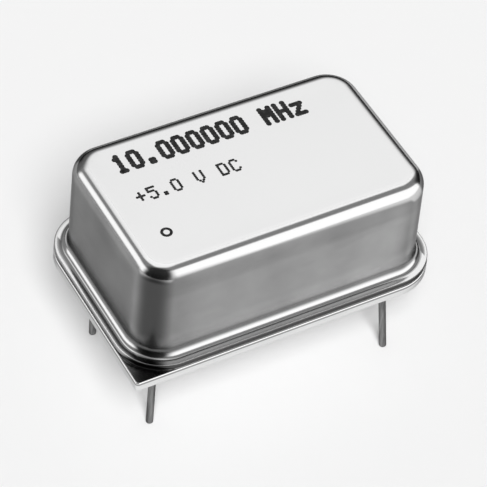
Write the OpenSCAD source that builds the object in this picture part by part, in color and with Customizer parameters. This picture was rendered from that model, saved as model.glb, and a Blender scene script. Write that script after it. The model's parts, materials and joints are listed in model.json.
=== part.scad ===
// Oven-controlled crystal oscillator in a welded metal can on the 14-pin dual-in-line grid.
// Millimetres. X runs along the can, Y across it and Z up. The origin is the middle of the
// pin grid on the underside of the header, and pin 1 is at the front left (-X, -Y).

/* [Can] */
// Length of the can's body at its foot
can_l = 18.7; // [18.2:0.1:26]
// Width of the can's body at its foot
can_w = 11.4; // [10.8:0.1:16]
// Height of the can's top above the underside of the header
can_top = 7.7; // [7.4:0.1:12]
// Thickness of the drawn sheet
sheet_t = 0.3; // [0.2:0.01:0.4]
// Outer radius of the upright corners at the foot
corner_r = 2.1; // [1.6:0.1:3]
// How far each wall leans in between its foot and the top
wall_lean = 0.14; // [0:0.02:0.4]
// Outer radius of the edge round the top
top_r = 1.0; // [0.6:0.05:1.3]
// Outer radius of the fillet between wall and flange
foot_r = 0.55; // [0.3:0.05:0.55]
// Width of the weld flange beyond the wall
flange_w = 0.8; // [0.8:0.05:1.4]

/* [Header] */
// Thickness of the header's rim
rim_t = 0.65; // [0.4:0.05:1]
// How far the rim stands out past the can's flange
rim_step = 0.05; // [0:0.01:0.3]
// Radius of the rim's three round corners
rim_corner_r = 3.0; // [2:0.1:4]
// Radius of the sharp corner that marks pin 1
mark_corner_r = 0.2; // [0.1:0.05:1]
// Height of the weld bead between rim and flange
weld_h = 0.1; // [0.05:0.01:0.2]
// Width of the weld bead
weld_w = 0.18; // [0.1:0.01:0.2]
// Height of the pedestal above the rim
pedestal_h = 0.7; // [0.4:0.05:0.9]
// Space between the pedestal and the can's wall
pedestal_space = 0.15; // [0.08:0.01:0.2]

/* [Pins] */
// Pin spacing along the can
pin_span_l = 15.24; // [15.24]
// Pin spacing across the can
pin_span_w = 7.62; // [7.62]
// Diameter of a plated pin
pin_d = 0.45; // [0.36:0.01:0.6]
// Thickness of the plating on the pins' outer ends
plating_t = 0.005; // [0.002:0.001:0.01]
// Length of the pins below the header
pin_l = 7.0; // [3:0.1:14]
// Width of the chamfer round a pin's tip
tip_chamfer = 0.05; // [0.02:0.01:0.1]
// How far pin 7 is bent out of upright, in degrees
pin_7_lean = 8; // [1:0.5:12]
// The way that pin 7 leans, in degrees anticlockwise from +X
pin_7_towards = -62; // [-180:1:180]
// Straight length of pin 7 above its bend
pin_7_straight = 0.9; // [0.6:0.1:2]
// Radius of the bend in pin 7
bend_r = 3; // [1:0.5:6]
// Diameter of the glass bead round an insulated pin
glass_d = 1.7; // [1.2:0.05:1.9]
// How far the glass and braze lie above the header's underside
glass_recess = 0.05; // [0.02:0.01:0.2]
// Height of the glass that climbs the pin
glass_climb = 0.15; // [0.05:0.01:0.25]
// Width of the brazed joint round the ground pin
braze_w = 0.18; // [0.1:0.01:0.25]

/* [Boards] */
// Thickness of the insulating pad on the header
pad_t = 0.3; // [0.2:0.05:0.45]
// Thickness of the control board
board_t = 0.6; // [0.4:0.05:0.75]
// Space between the control board and the can's wall
board_space = 0.35; // [0.2:0.05:0.5]
// Thickness of the ceramic oven board
oven_t = 0.5; // [0.4:0.05:0.65]
// Height of the oven board above the control board
oven_rise = 1.25; // [1.2:0.05:1.4]
// Space between the oven board's edge and the parts on it
edge_space = 0.35; // [0.3:0.05:0.6]
// Space between the crystal holder and the heater
part_space = 0.4; // [0.35:0.05:0.8]
// Diameter of the four posts that carry the oven board
post_d = 0.4; // [0.3:0.02:0.5]
// How far the posts stand in from the oven board's edges
post_inset = 0.5; // [0.4:0.05:0.6]
// Space left all round a pin in its soldered hole
pin_space = 0.18; // [0.1:0.01:0.2]
// Space left all round a thinner wire in its hole
hole_space = 0.1; // [0.05:0.01:0.12]
// Height of a solder fillet
fillet_h = 0.2; // [0.1:0.05:0.25]

/* [Crystal] */
// Diameter of the crystal holder's flange
crystal_d = 8.0; // [6.6:0.1:8.3]
// Height of the crystal holder
crystal_h = 2.6; // [2.3:0.05:2.7]
// Thickness of the holder's drawn cap
cap_t = 0.2; // [0.15:0.01:0.24]
// Width of the holder's flange
cap_flange = 0.3; // [0.25:0.05:0.5]
// Thickness of the holder's base
base_t = 0.6; // [0.5:0.05:0.8]
// Thickness of the quartz blank
blank_t = 0.16; // [0.1:0.01:0.25]
// Diameter of the electrodes on the blank
electrode_d = 3.0; // [2:0.1:3.4]
// Thickness of the strip that the two clips are folded from
clip_t = 0.1; // [0.06:0.01:0.12]
// Diameter of the holder's two leads
lead_d = 0.4; // [0.3:0.02:0.48]
// Thickness of the copper heat spreader
spreader_t = 0.25; // [0.15:0.05:0.3]

/* [Chips] */
// Length of the heater transistor's body
heater_l = 4.2; // [3.6:0.1:4.6]
// Width of the heater transistor's body
heater_w = 2.4; // [2:0.1:2.8]
// Height of the heater transistor's body
heater_h = 1.4; // [1:0.05:1.8]
// Length and width of the oscillator chip
oscillator_d = 2.5; // [2:0.1:2.8]
// Height of the oscillator chip
oscillator_h = 0.85; // [0.6:0.05:1.2]
// Length of the voltage regulator's body
regulator_l = 2.9; // [2.4:0.1:3.2]
// Length of the output buffer's body
buffer_l = 2.0; // [1.8:0.1:2.4]
// Length and width of the heater amplifier's body
amplifier_d = 3.0; // [2.4:0.1:3.2]
// Width of the voltage regulator's body
regulator_w = 1.6; // [1.3:0.05:1.7]
// Width of the output buffer's body
buffer_w = 1.25; // [1:0.05:1.5]
// Height of the control board's three chips above it
chip_h = 1.0; // [0.8:0.05:1.1]
// Space under the chips that stand on feet
chip_rise = 0.1; // [0.05:0.01:0.15]
// Thickness of the chips' feet
foot_t = 0.15; // [0.1:0.01:0.18]
// Length of the chips' feet beyond the body
foot_l = 0.6; // [0.5:0.05:0.7]
// Length of a chip capacitor on the control board
capacitor_l = 1.6; // [1.2:0.1:1.8]
// Length of the smaller chips
small_l = 1.0; // [0.8:0.05:1.2]

/* [Hidden] */
$fn = 96;

// Flats in each quarter bend of a drawn section
bend_steps = 8;
// How far the parts of one piece run into each other
joint_overlap = 0.05;
// How far a bore is cut past both faces
cut = 1;

// The can and the header, with the space inside them
flange_top = rim_t + weld_h + sheet_t;
inner_l = can_l - 2 * sheet_t;
inner_w = can_w - 2 * sheet_t;
inner_top = can_top - sheet_t;
rim_l = can_l + 2 * (flange_w + rim_step);
rim_w = can_w + 2 * (flange_w + rim_step);
pedestal_top = rim_t + pedestal_h;
// The bead runs under the flat of the flange
bead_reach = foot_r + (flange_w - foot_r + weld_w) / 2;

// Pins by number, as places on the grid
function pin_at(number) = [
  (number == 1 || number == 14 ? -1 : 1) * pin_span_l / 2,
  (number == 1 || number == 7 ? -1 : 1) * pin_span_w / 2
];
PINS = [1, 7, 8, 14];
wire_r = pin_d / 2 - plating_t;
CORNERS = [[-1, -1], [1, -1], [1, 1], [-1, 1]];

// The stack inside, from the header up. A wire's end shows past its solder by wire_end.
wire_end = 0.1;
board_z = pedestal_top + pad_t;
board_top = board_z + board_t;
pin_top = board_top + fillet_h + wire_end;
oven_z = board_top + oven_rise;
oven_top = oven_z + oven_t;
crystal_z = oven_top + spreader_t;
cap_top = crystal_z + crystal_h;
board_l = inner_l - 2 * board_space;
board_w = inner_w - 2 * board_space;
board_r = corner_r - sheet_t - board_space;

// The oven board is as large as the crystal holder and the heater side by side
oven_l = crystal_d + part_space + heater_l + 2 * edge_space;
oven_w = crystal_d + 2 * edge_space;
crystal_x = crystal_d / 2 + edge_space - oven_l / 2;
heater_x = oven_l / 2 - edge_space - heater_l / 2;
heater_y = heater_w / 2 + part_space;
post_x = oven_l / 2 - post_inset;
post_y = oven_w / 2 - post_inset;

// Inside the crystal holder: the blank clears the cap by blank_space all round
cap_r = crystal_d / 2 - cap_flange;
base_step = base_t / 2;
blank_space = 0.8;
blank_r = cap_r - cap_t - blank_space;
bead_d = 2 * lead_d;
lead_inset = 0.3;
lead_x = blank_r - lead_inset;
clip_w = 0.8;
clip_reach = lead_inset + lead_d / 2;
blank_rise = 0.4;
blank_z = crystal_z + base_t + blank_rise;

// Places on the control board. The regulator and the buffer stand left of the crystal's middle,
// the capacitors left of its right lead and the amplifier right of that lead.
left_x = crystal_x - 1.3;
left_y = 2.1;
capacitor_x = crystal_x + lead_x - 0.7;
capacitor_rows = [1.9, 3.2];
right_x = amplifier_d / 2 + 1.7;

// Resistors: a row of four right of the amplifier and two by the board's left end
resistor_h = 0.35;
resistor_pitch = 1;
amplifier_gap = 0.7;
end_gap = 1.7;
end_row_y = 1.2;

// Places on the oven board
oven_corner_r = 0.5;
sensor_gap = 0.7;
oscillator_x = heater_x - 0.3;
diode_x = crystal_x + crystal_d / 2 - 0.4;

// Points of an arc about c, from angle a to angle b
function arc(c, r, a, b) = [
  for (i = [0:bend_steps]) let (t = a + (b - a) * i / bend_steps) c + r * [cos(t), sin(t)]
];

// Section of a drawn cup, with x outward and y up. The outer wall stands at x = wall at its foot
// and leans in by lean, the flange's upper face is at foot and its edge is at x = reach.
function drawn_section(wall, top, foot, reach, t, lean, r_top, r_foot) =
  let (
    a = atan(lean / (top - foot)),
    top_c = [wall - tan(a) * (top - r_top - foot) - r_top / cos(a), top - r_top],
    foot_c = [wall - tan(a) * r_foot + r_foot / cos(a), foot + r_foot]
  )
  concat(
    [[0, top]],
    arc(top_c, r_top, 90, a),
    arc(foot_c, r_foot, 180 + a, 270),
    [[reach, foot], [reach, foot - t]],
    arc(foot_c, r_foot + t, 270, 180 + a),
    arc(top_c, r_top - t, a, 90),
    [[0, top - t]]
  );

// Carries a section round a rectangle l by w with corners of radius r. The section's x = 0 is
// the corners' own axis.
module round_rectangle(l, w, r) {
  for (side = [0:3]) {
    across = side % 2 == 0 ? w : l;
    along = side % 2 == 0 ? l : w;
    rotate([0, 0, 90 * side]) translate([along / 2 - r, 0, 0]) {
      rotate([90, 0, 0]) linear_extrude(height = across - 2 * r, center = true) children();
      translate([0, across / 2 - r, 0]) rotate_extrude(angle = 90) children();
    }
  }
}

// Outline l by w with round corners, one radius each, from the front left anticlockwise
module outline(l, w, radii) {
  polygon([
    [radii[0] - l / 2, -w / 2], [l / 2 - radii[1], -w / 2],
    [l / 2, radii[1] - w / 2], [l / 2, w / 2 - radii[2]],
    [l / 2 - radii[2], w / 2], [radii[3] - l / 2, w / 2],
    [-l / 2, w / 2 - radii[3]], [-l / 2, radii[0] - w / 2]
  ]);
  for (i = [0:3])
    translate([CORNERS[i][0] * (l / 2 - radii[i]), CORNERS[i][1] * (w / 2 - radii[i])])
      circle(r = radii[i]);
}

// Flat plate with one corner radius
module plate(l, w, r, t) {
  linear_extrude(height = t) outline(l, w, [r, r, r, r]);
}

// A bore of radius r through a plate of thickness t, run out past both its faces
module bore(r, t) {
  translate([0, 0, -cut]) cylinder(r = r, h = t + 2 * cut);
}

// A board of thickness t that clears the can's wall
module board(t) {
  plate(board_l, board_w, board_r, t);
}

// The drawn can: walls, round top edge, foot fillet and weld flange in one sheet
module cover() color("#c9c9c9") {
  round_rectangle(can_l, can_w, corner_r)
    polygon(drawn_section(corner_r, can_top, flange_top, corner_r + flange_w,
      sheet_t, wall_lean, top_r, foot_r));
  translate([corner_r - can_l / 2, corner_r - can_w / 2, inner_top])
    cube([can_l - 2 * corner_r, can_w - 2 * corner_r, sheet_t]);
}

// The header: a rim with one sharp corner, a weld bead and a pedestal, bored for the pins
module header() color("#b4b4b4") {
  pedestal_r = corner_r - sheet_t - pedestal_space;
  difference() {
    union() {
      linear_extrude(height = rim_t)
        outline(rim_l, rim_w, [mark_corner_r, rim_corner_r, rim_corner_r, rim_corner_r]);
      plate(inner_l - 2 * pedestal_space, inner_w - 2 * pedestal_space, pedestal_r, pedestal_top);
      difference() {
        plate(can_l + 2 * bead_reach, can_w + 2 * bead_reach, corner_r + bead_reach, rim_t + weld_h);
        translate([0, 0, -cut])
          plate(can_l + 2 * (bead_reach - weld_w), can_w + 2 * (bead_reach - weld_w),
            corner_r + bead_reach - weld_w, rim_t + weld_h + 2 * cut);
      }
    }
    for (number = PINS)
      translate(pin_at(number))
        bore(number == 7 ? wire_r + braze_w : glass_d / 2, pedestal_top);
  }
}

// A pin's upright part, plated below the seal, down to depth below the header
module pin_shank(depth, chamfer) {
  rotate_extrude() polygon([
    [0, -depth], [pin_d / 2 - chamfer, -depth], [pin_d / 2, chamfer - depth],
    [pin_d / 2, glass_recess], [wire_r, glass_recess], [wire_r, pin_top], [0, pin_top]
  ]);
}

module straight_pin(number) color("#8f8f8f") {
  translate(pin_at(number)) pin_shank(pin_l, tip_chamfer);
}

module pin_1() straight_pin(1);
module pin_8() straight_pin(8);
module pin_14() straight_pin(14);

// Pin 7, the ground pin, is bent a little outwards: a straight stretch, an arc and a straight tip
// that ends level with the other pins' tips
module pin_7() color("#8f8f8f") {
  tip_rim = (pin_d / 2 - tip_chamfer) * sin(pin_7_lean);
  drop = (pin_l - pin_7_straight - bend_r * sin(pin_7_lean) - tip_rim) / cos(pin_7_lean);
  translate(pin_at(7)) {
    pin_shank(pin_7_straight, 0);
    translate([0, 0, -pin_7_straight]) rotate([0, 0, pin_7_towards]) translate([bend_r, 0, 0]) {
      rotate([90, 0, 0]) rotate([0, 0, 180])
        rotate_extrude(angle = pin_7_lean) translate([bend_r, 0]) circle(d = pin_d);
      rotate([0, -pin_7_lean, 0]) translate([-bend_r, 0, 0])
        rotate_extrude() polygon([
          [0, 0], [pin_d / 2, 0], [pin_d / 2, tip_chamfer - drop],
          [pin_d / 2 - tip_chamfer, -drop], [0, -drop]
        ]);
    }
  }
}

// Glass from the recess up to the pedestal's top, climbing the wire a little
module glass_seal(number) color("#3b4a44") {
  translate(pin_at(number)) rotate_extrude() polygon([
    [wire_r, glass_recess], [glass_d / 2, glass_recess], [glass_d / 2, pedestal_top],
    [wire_r + glass_climb, pedestal_top], [wire_r, pedestal_top + glass_climb]
  ]);
}

module glass_seal_1() glass_seal(1);
module glass_seal_8() glass_seal(8);
module glass_seal_14() glass_seal(14);

module ground_pin_braze() color("#c8b48a") {
  translate(pin_at(7)) rotate_extrude() polygon([
    [wire_r, glass_recess], [wire_r + braze_w, glass_recess],
    [wire_r + braze_w, pedestal_top], [wire_r, pedestal_top + braze_w]
  ]);
}

// Insulating pad between the header and the control board, clear of the glass
module base_pad() color("#c7a23a") {
  translate([0, 0, pedestal_top]) difference() {
    board(pad_t);
    for (number = PINS) translate(pin_at(number)) bore(glass_d / 2 + pin_space, pad_t);
  }
}

module control_board() color("#2f6b3c") {
  translate([0, 0, board_z]) difference() {
    board(board_t);
    for (number = PINS) translate(pin_at(number)) bore(wire_r + pin_space, board_t);
    for (c = CORNERS) translate([c[0] * post_x, c[1] * post_y, 0]) bore(post_d / 2, board_t);
  }
}

// Solder round a wire of radius r. It fills the space left in the hole through a board of
// thickness t, whose far face is at z = 0, and stands on the near face as a cone.
module solder_joint(r, space, t) {
  rotate_extrude() polygon([
    [r, 0], [r + space, 0], [r + space, t], [r + 2 * space, t], [r, t + fillet_h]
  ]);
}

module solder_joints() color("#d5d5d0") {
  for (number = PINS)
    translate(concat(pin_at(number), [board_z])) solder_joint(wire_r, pin_space, board_t);
  for (side = [-1, 1])
    translate([crystal_x + side * lead_x, 0, oven_top]) mirror([0, 0, 1])
      solder_joint(lead_d / 2, hole_space, oven_t);
}

// A bent foot that leaves a chip's side at y = 0, at height z, and ends flat on the board
module foot(z, w) {
  translate([w / 2, 0, 0]) rotate([0, -90, 0]) linear_extrude(height = w) polygon([
    [z - foot_t / 2, -joint_overlap], [z + foot_t / 2, -joint_overlap],
    [z + foot_t / 2, 0.4 * foot_l], [foot_t, 0.6 * foot_l],
    [foot_t, foot_l], [0, foot_l], [0, 0.4 * foot_l], [z - foot_t / 2, 0.2 * foot_l]
  ]);
}

// A moulded chip l by w by h with its underside at rise. Each long side has room for count feet,
// and the front and back lists say which of those places have one.
module footed_chip(l, w, h, rise, count, front, back) {
  pitch = l / count;
  foot_w = 0.4 * pitch;
  foot_z = rise + h / 3;
  translate([-l / 2, -w / 2, rise]) cube([l, w, h]);
  for (i = front)
    translate([(i - (count - 1) / 2) * pitch, -w / 2, 0]) rotate([0, 0, 180]) foot(foot_z, foot_w);
  for (i = back)
    translate([(i - (count - 1) / 2) * pitch, w / 2, 0]) foot(foot_z, foot_w);
}

// A ceramic chip l by w by h with metal ends that stand a little proud of it
module end_cap_chip(l, w, h) {
  cap_l = l / 5;
  proud = 0.03;
  for (side = [-1, 1])
    translate([side * (l - cap_l) / 2 - cap_l / 2, -w / 2, 0]) cube([cap_l, w, h]);
  translate([-l / 2 + cap_l / 2, proud - w / 2, proud])
    cube([l - cap_l, w - 2 * proud, h - 2 * proud]);
}

// The smaller chips: a resistor is flatter than a capacitor
module small_chip(h) {
  end_cap_chip(small_l, small_l / 2, h);
}

module voltage_regulator() color("#222222") {
  translate([left_x, left_y, board_top])
    footed_chip(regulator_l, regulator_w, chip_h, chip_rise, 3, [0, 1, 2], [0, 2]);
}

module output_buffer() color("#222222") {
  translate([left_x, -left_y, board_top])
    footed_chip(buffer_l, buffer_w, chip_h - chip_rise, chip_rise, 3, [0, 1, 2], [0, 2]);
}

module heater_amplifier() color("#222222") {
  translate([right_x, 0, board_top])
    footed_chip(amplifier_d, amplifier_d, chip_h - chip_rise, chip_rise, 4, [0:3], [0:3]);
}

module board_capacitors() color("#b59a6a") {
  for (side = [-1, 1], y = capacitor_rows)
    translate([capacitor_x, side * y, board_top])
      end_cap_chip(capacitor_l, capacitor_l / 2, capacitor_l / 2);
}

module board_resistors() color("#1d1d1f") {
  row_x = right_x + (amplifier_d + small_l) / 2 + amplifier_gap;
  for (i = [0:3])
    translate([row_x, (i - 3 / 2) * resistor_pitch, board_top]) small_chip(resistor_h);
  for (side = [-1, 1])
    translate([end_gap + (small_l - board_l) / 2, side * end_row_y, board_top])
      small_chip(resistor_h);
}

// Four wire posts with a collar on the control board and one under the oven board
module oven_posts() color("#b9b4a6") {
  r = post_d / 2;
  collar = 0.15;
  for (c = CORNERS)
    translate([c[0] * post_x, c[1] * post_y, 0]) rotate_extrude() polygon([
      [0, board_z], [r, board_z], [r, board_top], [r + collar, board_top],
      [r + collar, board_top + collar], [r, board_top + collar], [r, oven_z - collar],
      [r + collar, oven_z - collar], [r + collar, oven_z], [r, oven_z],
      [r, oven_top + collar], [0, oven_top + collar]
    ]);
}

module oven_board() color("#e9e4da") {
  translate([0, 0, oven_z]) difference() {
    plate(oven_l, oven_w, oven_corner_r, oven_t);
    for (c = CORNERS) translate([c[0] * post_x, c[1] * post_y, 0]) bore(post_d / 2, oven_t);
    for (side = [-1, 1])
      translate([crystal_x + side * lead_x, 0, 0]) bore(lead_d / 2 + hole_space, oven_t);
  }
}

// Copper plate under the crystal holder, with a tongue under the heater
module heat_spreader() color("#b87333") {
  translate([0, 0, oven_top]) linear_extrude(height = spreader_t) difference() {
    union() {
      translate([crystal_x, 0]) circle(r = crystal_d / 2 - hole_space);
      translate([crystal_x, heater_y - heater_w / 2])
        square([heater_x + heater_l / 2 - crystal_x, heater_w]);
    }
    for (side = [-1, 1])
      translate([crystal_x + side * lead_x, 0]) circle(r = lead_d / 2 + 2 * hole_space);
  }
}

// Power transistor on the spreader's tongue, with three feet in front and a tab behind
module heater_transistor() color("#222222") {
  translate([heater_x, heater_y, oven_top]) {
    footed_chip(heater_l, heater_w, heater_h, spreader_t, 3, [0, 1, 2], []);
    translate([-heater_l / 4, heater_w / 2 - joint_overlap, spreader_t])
      cube([heater_l / 2, part_space, heater_h / 5]);
  }
}

// Sensor beside the crystal holder, turned to lie along its edge
module thermistor() color("#3a2f2a") {
  translate([heater_x - heater_l / 2, heater_y - heater_w / 2 - foot_l - sensor_gap, oven_top])
    rotate([0, 0, 90]) small_chip(small_l / 3);
}

// Leadless chip with two rows of pads under its edges, in the oven board's corner
module oscillator_chip() color("#222222") {
  pad_h = 0.05;
  pad_l = 0.4;
  pad_w = 0.3;
  pitch = oscillator_d / 4;
  translate([oscillator_x, edge_space + (oscillator_d - oven_w) / 2, oven_top]) {
    translate([-oscillator_d / 2, -oscillator_d / 2, pad_h])
      cube([oscillator_d, oscillator_d, oscillator_h - pad_h]);
    for (side = [-1, 1], i = [-1, 0, 1])
      translate([i * pitch - pad_w / 2, side * (oscillator_d - pad_l) / 2 - pad_l / 2, 0])
        cube([pad_w, pad_l, pad_h + joint_overlap]);
  }
}

// Small diode with a flat lead at each end, in front of the crystal holder's edge
module varactor_diode() color("#222222") {
  body = [1.2, 0.8, 0.6];
  lead = [1.6, 0.3, foot_t];
  translate([diode_x, edge_space + (body[1] - oven_w) / 2, oven_top]) {
    translate([-body[0] / 2, -body[1] / 2, 0]) cube(body);
    translate([-lead[0] / 2, -lead[1] / 2, 0]) cube(lead);
  }
}

// Two chips in a row beside the heater's tab
module oven_capacitors() color("#b59a6a") {
  tab_x = heater_x - heater_l / 4;
  for (i = [0, 1])
    translate([
      tab_x - part_space - small_l / 2 - i * (small_l + part_space),
      (oven_w - small_l / 2) / 2 - edge_space, oven_top
    ])
      small_chip(small_l / 2);
}

// Round base of the crystal holder, with a raised middle and two bored seals
module crystal_base() color("#c2c2c2") {
  translate([crystal_x, 0, crystal_z]) difference() {
    union() {
      cylinder(r = crystal_d / 2, h = base_step);
      cylinder(r = cap_r - cap_t - hole_space, h = base_t);
    }
    for (side = [-1, 1]) translate([side * lead_x, 0, 0]) bore(bead_d / 2, base_t);
  }
}

module crystal_beads() color("#3b4a44") {
  for (side = [-1, 1]) translate([crystal_x + side * lead_x, 0, crystal_z]) difference() {
    cylinder(d = bead_d, h = base_t);
    bore(lead_d / 2, base_t);
  }
}

// Two wires from below the oven board to the undersides of the clips
module crystal_leads() color("#b9b4a6") {
  bottom = oven_z - fillet_h - wire_end;
  for (side = [-1, 1])
    translate([crystal_x + side * lead_x, 0, bottom])
      cylinder(r = lead_d / 2, h = blank_z - clip_t - bottom);
}

// Two folded strips that grip the blank's edge between two lips
module crystal_clips() color("#b9b4a6") {
  for (side = [-1, 1])
    translate([crystal_x, 0, blank_z]) rotate([0, 0, side > 0 ? 0 : 180])
      rotate([90, 0, 0]) linear_extrude(height = clip_w, center = true) polygon([
        [blank_r - clip_reach, -clip_t], [blank_r + clip_t, -clip_t],
        [blank_r + clip_t, blank_t + clip_t], [blank_r - clip_reach, blank_t + clip_t],
        [blank_r - clip_reach, blank_t], [blank_r, blank_t],
        [blank_r, 0], [blank_r - clip_reach, 0]
      ]);
}

// Quartz disc with a metal electrode plated on each face
module quartz_blank() color("#dfe8ea") {
  plated = 0.02;
  translate([crystal_x, 0, blank_z]) {
    cylinder(r = blank_r, h = blank_t);
    translate([0, 0, -plated]) cylinder(d = electrode_d, h = blank_t + 2 * plated);
  }
}

// Drawn round cap, welded to the base by its flange
module crystal_cap() color("#c9c9c9") {
  translate([crystal_x, 0, crystal_z]) rotate_extrude()
    polygon(drawn_section(cap_r, crystal_h, base_step + cap_t, crystal_d / 2,
      cap_t, 0, 2 * cap_t, cap_flange / 2));
}

// Foam between the crystal holder and the can's top
module top_pad() color("#d8cfae") {
  margin = wall_lean + top_r + hole_space;
  translate([0, 0, cap_top])
    plate(can_l - 2 * margin, can_w - 2 * margin, corner_r - top_r, inner_top - cap_top);
}

cover();
header();
pin_1();
pin_7();
pin_8();
pin_14();
glass_seal_1();
glass_seal_8();
glass_seal_14();
ground_pin_braze();
base_pad();
control_board();
solder_joints();
voltage_regulator();
heater_amplifier();
output_buffer();
board_capacitors();
board_resistors();
oven_posts();
oven_board();
heat_spreader();
heater_transistor();
thermistor();
oscillator_chip();
varactor_diode();
oven_capacitors();
crystal_base();
crystal_beads();
crystal_leads();
crystal_clips();
quartz_blank();
crystal_cap();
top_pad();
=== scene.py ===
import json
import math

import bmesh
import bpy
from mathutils import Matrix, Vector


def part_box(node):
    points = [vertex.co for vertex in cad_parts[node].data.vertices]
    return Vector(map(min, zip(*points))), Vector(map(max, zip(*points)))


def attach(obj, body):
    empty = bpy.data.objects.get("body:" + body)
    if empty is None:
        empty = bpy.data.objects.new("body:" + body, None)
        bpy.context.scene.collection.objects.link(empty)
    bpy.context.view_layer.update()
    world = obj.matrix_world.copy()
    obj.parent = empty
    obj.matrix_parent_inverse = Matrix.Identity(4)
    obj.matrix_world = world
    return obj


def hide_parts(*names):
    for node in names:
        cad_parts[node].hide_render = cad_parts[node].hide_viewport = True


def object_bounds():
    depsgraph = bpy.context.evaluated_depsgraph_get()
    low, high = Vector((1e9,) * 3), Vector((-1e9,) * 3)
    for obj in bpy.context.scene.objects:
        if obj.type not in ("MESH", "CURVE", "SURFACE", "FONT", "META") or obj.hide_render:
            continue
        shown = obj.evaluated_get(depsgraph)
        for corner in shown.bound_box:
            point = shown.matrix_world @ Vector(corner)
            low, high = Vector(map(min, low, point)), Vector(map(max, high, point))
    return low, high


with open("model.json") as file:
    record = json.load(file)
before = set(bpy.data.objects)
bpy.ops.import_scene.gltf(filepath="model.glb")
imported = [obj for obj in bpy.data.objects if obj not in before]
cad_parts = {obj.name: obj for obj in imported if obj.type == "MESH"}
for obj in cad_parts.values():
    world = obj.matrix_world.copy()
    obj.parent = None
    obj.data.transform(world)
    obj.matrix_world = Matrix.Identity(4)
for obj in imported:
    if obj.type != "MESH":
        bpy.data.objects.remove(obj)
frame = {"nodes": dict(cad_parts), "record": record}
cad_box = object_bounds()

# Sizes are in metres, and those multiplied by MM are written in millimetres. The places of the
# painted shade and light on the can and the header are in millimetres.
MM = 0.001

# ---------------------------------------------------------------------------------------------
# The can and the header, from the frame
# ---------------------------------------------------------------------------------------------

flange_lo, flange_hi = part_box("cover")
_, header_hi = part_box("header")
pedestal_top = header_hi.z

SHEET = 0.3 * MM
FLANGE_W = 0.8 * MM
CORNER_R = 2.1 * MM
TOP_R = 1.0 * MM
FOOT_R = 0.55 * MM
LEAN = 0.14 * MM
EDGE_R = 0.06 * MM

can_top = flange_hi.z
flange_z = flange_lo.z
can_half = Vector((flange_hi.x - FLANGE_W, flange_hi.y - FLANGE_W))

RIM_T = 0.65 * MM
RIM_R = 3.0 * MM
MARK_R = 0.2 * MM
BEAD_H = flange_z - RIM_T
BEAD_OUT = 0.765 * MM
BEAD_IN = 0.585 * MM
PEDESTAL_SPACE = 0.15 * MM
rim_half = Vector((header_hi.x, header_hi.y))

GRID = Vector((7.62 * MM, 3.81 * MM))
PINS = {1: (-1, -1), 7: (1, -1), 8: (1, 1), 14: (-1, 1)}
GLASS_R = 0.85 * MM
WIRE_R = 0.22 * MM
PIN_R = 0.225 * MM
BRAZE_W = 0.18 * MM
RECESS = 0.05 * MM

# Steps of the curves, and of the straight stretches that are bowed
ARC_STEPS = 14
CORNER_STEPS = 20
EDGE_STEPS = 4
SIDE_STEPS = 14
WALL_STEPS = 10
ROUND_STEPS = 48
PIN_STEPS = 32
SMOOTH_BELOW = math.radians(35)

# Vertices this close are one, heights this close are level, and a cut this close to a vertex
# goes through it
MERGE = 0.0005 * MM
LEVEL = 0.001 * MM
CUT_SLACK = 0.0001 * MM


# ---------------------------------------------------------------------------------------------
# Mesh tools
# ---------------------------------------------------------------------------------------------

def arc(centre, radius, start, end, steps):
    """Points of an arc in the section plane, x outwards and y up, with its angles in degrees."""
    angles = [math.radians(start + (end - start) * i / steps) for i in range(steps + 1)]
    return [
        Vector((centre[0] + radius * math.cos(a), centre[1] + radius * math.sin(a)))
        for a in angles]


def chain(bm, points):
    """Vertices at the points, joined by edges in that order."""
    verts = [bm.verts.new(p) for p in points]
    return [bm.edges.new(pair) for pair in zip(verts, verts[1:])]


def extruded(bm, edges, offset):
    """Extrudes the edges by the offset and gives the new edges."""
    made = bmesh.ops.extrude_edge_only(bm, edges=edges)["geom"]
    verts = [g for g in made if isinstance(g, bmesh.types.BMVert)]
    bmesh.ops.translate(bm, verts=verts, vec=offset)
    return [g for g in made if isinstance(g, bmesh.types.BMEdge)]


def spun(bm, edges, centre, angle, steps, axis=(0, 0, 1)):
    """Spins the edges about an axis through the centre and gives the last copy's edges."""
    verts = {v for e in edges for v in e.verts}
    made = bmesh.ops.spin(
        bm, geom=[*verts, *edges], cent=centre, axis=axis, angle=angle, steps=steps)
    return [g for g in made["geom_last"] if isinstance(g, bmesh.types.BMEdge)]


def swept(bm, section, half, radii, side_steps=1):
    """Carries an open section round a rectangle of the given half sizes. The section's x is
    measured outwards from the rectangle's border. The radii are those of the corners, from the
    front right anticlockwise."""
    corners = [(1, -1), (1, 1), (-1, 1), (-1, -1)]
    centres = [
        Vector((sx * (half.x - r), sy * (half.y - r), 0)) for (sx, sy), r in zip(corners, radii)]
    start = Vector((half.x, centres[0].y, 0))
    edges = chain(bm, [start + Vector((p.x, 0, p.y)) for p in section])
    for i in range(4):
        here, there = centres[i], centres[(i + 1) % 4]
        along = Vector((0, there.y - here.y, 0)) if i % 2 == 0 else Vector((there.x - here.x, 0, 0))
        for _ in range(side_steps):
            edges = extruded(bm, edges, along / side_steps)
        edges = spun(bm, edges, there, math.pi / 2, CORNER_STEPS)
    bmesh.ops.remove_doubles(bm, verts=bm.verts, dist=MERGE)


def open_loop(bm, z):
    """The open edges at height z."""
    return [
        e for e in bm.edges
        if len(e.link_faces) < 2 and all(abs(v.co.z - z) < LEVEL for v in e.verts)]


def ring(bm, radius, centre):
    """A circle of open edges."""
    made = bmesh.ops.create_circle(
        bm, segments=ROUND_STEPS, radius=radius, matrix=Matrix.Translation(centre))
    return list({e for v in made["verts"] for e in v.link_edges})


def fill(bm, edges):
    """Fills the loops of edges with triangles, and leaves the loops inside others as holes."""
    bmesh.ops.triangle_fill(bm, edges=edges, use_beauty=True, use_dissolve=False)


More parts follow.
